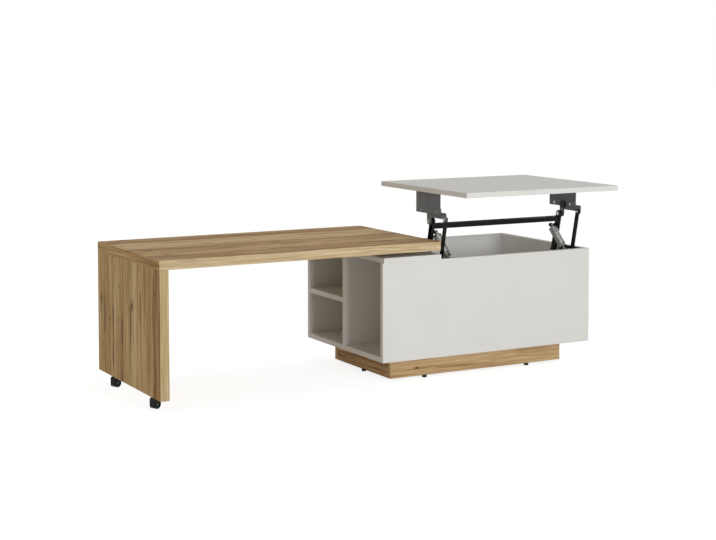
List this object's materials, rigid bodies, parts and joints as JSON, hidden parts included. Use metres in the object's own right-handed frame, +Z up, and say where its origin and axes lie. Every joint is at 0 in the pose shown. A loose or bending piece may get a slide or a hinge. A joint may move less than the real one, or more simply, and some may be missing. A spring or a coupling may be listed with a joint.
{
  "type": "coffee table",
  "caption": "Coffee table with a lift-up top over a storage box, open shelves, an oak plinth and an oak table leaf on a castor leg that swivels on top.",
  "frame": {"origin": "on the floor, at the middle of the table's outline with its top raised and its oak leaf drawn out", "axes": "+X along the carcass away from the oak leaf's leg, +Y from the front to the rear, +Z up"},
  "size_m": [1.5046, 0.6648, 0.6],
  "materials": {
    "oak_laminate": "satin oak-grain laminate on chipboard",
    "pale_laminate": "satin pale grey-white laminate on chipboard",
    "black_plastic": "moulded, slightly glossy",
    "white_plastic": "turned acetal",
    "grey_steel": "satin grey powder coat",
    "black_steel": "satin black powder coat",
    "zinc_steel": "bright zinc plate"
  },
  "bodies": {
    "cabinet": {"front_panel": "pale_laminate", "rear_panel": "pale_laminate", "bottom_panel": "pale_laminate", "right_side_panel": "pale_laminate", "partition": "pale_laminate", "compartment_divider": "pale_laminate", "compartment_shelf": "pale_laminate", "fixed_top_strip": "pale_laminate", "plinth_front_board": "oak_laminate", "plinth_rear_board": "oak_laminate", "plinth_left_board": "oak_laminate", "plinth_right_board": "oak_laminate", "floor_glides": "black_plastic", "swivel_base_plate": "zinc_steel", "swivel_ring": "white_plastic", "swivel_rivet": "zinc_steel", "swivel_base_screws": "zinc_steel", "base_screws": "zinc_steel", "left_base_plate": "black_steel", "left_pivot_cheek": "black_steel", "left_base_pins": "zinc_steel", "right_base_plate": "black_steel", "right_pivot_cheek": "black_steel", "right_base_pins": "zinc_steel"},
    "rear_arms": {"left_rear_arm": "black_steel", "right_rear_arm": "black_steel", "cross_bar": "black_steel"},
    "front_arms": {"left_front_arm": "black_steel", "right_front_arm": "black_steel"},
    "lift_top": {"lift_top": "pale_laminate", "bracket_rivets": "zinc_steel", "bracket_screws": "zinc_steel", "link_bosses": "black_plastic", "left_top_bracket": "grey_steel", "left_link_plate": "grey_steel", "left_link_pins": "zinc_steel", "right_top_bracket": "grey_steel", "right_link_plate": "grey_steel", "right_link_pins": "zinc_steel"},
    "oak_table": {"oak_top": "oak_laminate", "oak_leg": "oak_laminate", "swivel_top_plate": "zinc_steel", "swivel_top_screws": "zinc_steel", "castor_sockets": "zinc_steel"},
    "left_spring_foot": {"left_spring_lower_hook": "zinc_steel", "left_spring_coil": "zinc_steel"},
    "left_spring_head": {"left_spring_upper_hook": "zinc_steel", "left_spring_pin": "black_steel"},
    "right_spring_foot": {"right_spring_lower_hook": "zinc_steel", "right_spring_coil": "zinc_steel"},
    "right_spring_head": {"right_spring_upper_hook": "zinc_steel", "right_spring_pin": "black_steel"},
    "front_castor_fork": {"front_castor_stem": "zinc_steel", "front_castor_hood": "black_plastic", "front_castor_axle": "zinc_steel"},
    "front_castor_roller": {"front_castor_wheels": "black_plastic"},
    "rear_castor_fork": {"rear_castor_stem": "zinc_steel", "rear_castor_hood": "black_plastic", "rear_castor_axle": "zinc_steel"},
    "rear_castor_roller": {"rear_castor_wheels": "black_plastic"}
  },
  "joints": [
    {"name": "lift_swing", "type": "hinge", "parent": "cabinet", "child": "rear_arms", "pos_m": [0.4565, -0.05314, 0.362], "axis": [1, 0, 0], "range_deg": [-135.3, 0]},
    {"name": "front_arm_swing", "type": "hinge", "parent": "cabinet", "child": "front_arms", "pos_m": [0.4565, -0.14613, 0.3755], "axis": [1, 0, 0], "range_deg": [-135.3, 0]},
    {"name": "lift_top_level", "type": "hinge", "parent": "rear_arms", "child": "lift_top", "pos_m": [0.4565, -0.08249, 0.49121], "axis": [1, 0, 0], "range_deg": [0, 135.3]},
    {"name": "left_spring_turn", "type": "hinge", "parent": "cabinet", "child": "left_spring_foot", "pos_m": [0.2315, -0.14613, 0.3755], "axis": [1, 0, 0], "range_deg": [-66.53, 0]},
    {"name": "left_spring_stretch", "type": "slide", "parent": "left_spring_foot", "child": "left_spring_head", "axis": [0, 0.714, 0.7001], "range_m": [0, 0.07011], "deforming": ["left_spring_coil"]},
    {"name": "right_spring_turn", "type": "hinge", "parent": "cabinet", "child": "right_spring_foot", "pos_m": [0.6815, -0.14613, 0.3755], "axis": [1, 0, 0], "range_deg": [-66.53, 0]},
    {"name": "right_spring_stretch", "type": "slide", "parent": "right_spring_foot", "child": "right_spring_head", "axis": [0, 0.714, 0.7001], "range_m": [0, 0.07011], "deforming": ["right_spring_coil"]},
    {"name": "table_swivel", "type": "hinge", "parent": "cabinet", "child": "oak_table", "pos_m": [0.0745, 0.07036, 0.411], "axis": [0, 0, 1], "range_deg": [-90, 0]},
    {"name": "front_castor_swivel", "type": "hinge", "parent": "oak_table", "child": "front_castor_fork", "pos_m": [-0.73825, -0.10763, 0.038], "axis": [0, 0, 1], "continuous": true},
    {"name": "front_castor_roll", "type": "hinge", "parent": "front_castor_fork", "child": "front_castor_roller", "pos_m": [-0.73323, -0.1054, 0.0135], "axis": [-0.4067, 0.9135, 0], "continuous": true},
    {"name": "rear_castor_swivel", "type": "hinge", "parent": "oak_table", "child": "rear_castor_fork", "pos_m": [-0.73825, 0.22437, 0.038], "axis": [0, 0, 1], "continuous": true},
    {"name": "rear_castor_roll", "type": "hinge", "parent": "rear_castor_fork", "child": "rear_castor_roller", "pos_m": [-0.73323, 0.2266, 0.0135], "axis": [-0.4067, 0.9135, 0], "continuous": true}
  ],
  "couplings": [
    {"joint": "front_arm_swing", "follows": "lift_swing", "ratio": 1},
    {"joint": "lift_top_level", "follows": "lift_swing", "ratio": -1},
    {"joint": "left_spring_turn", "follows": "lift_swing", "ratio": 0.49164},
    {"joint": "left_spring_stretch", "follows": "lift_swing", "m_per_rad": -0.029687},
    {"joint": "right_spring_turn", "follows": "lift_swing", "ratio": 0.49164},
    {"joint": "right_spring_stretch", "follows": "lift_swing", "m_per_rad": -0.029687}
  ]
}
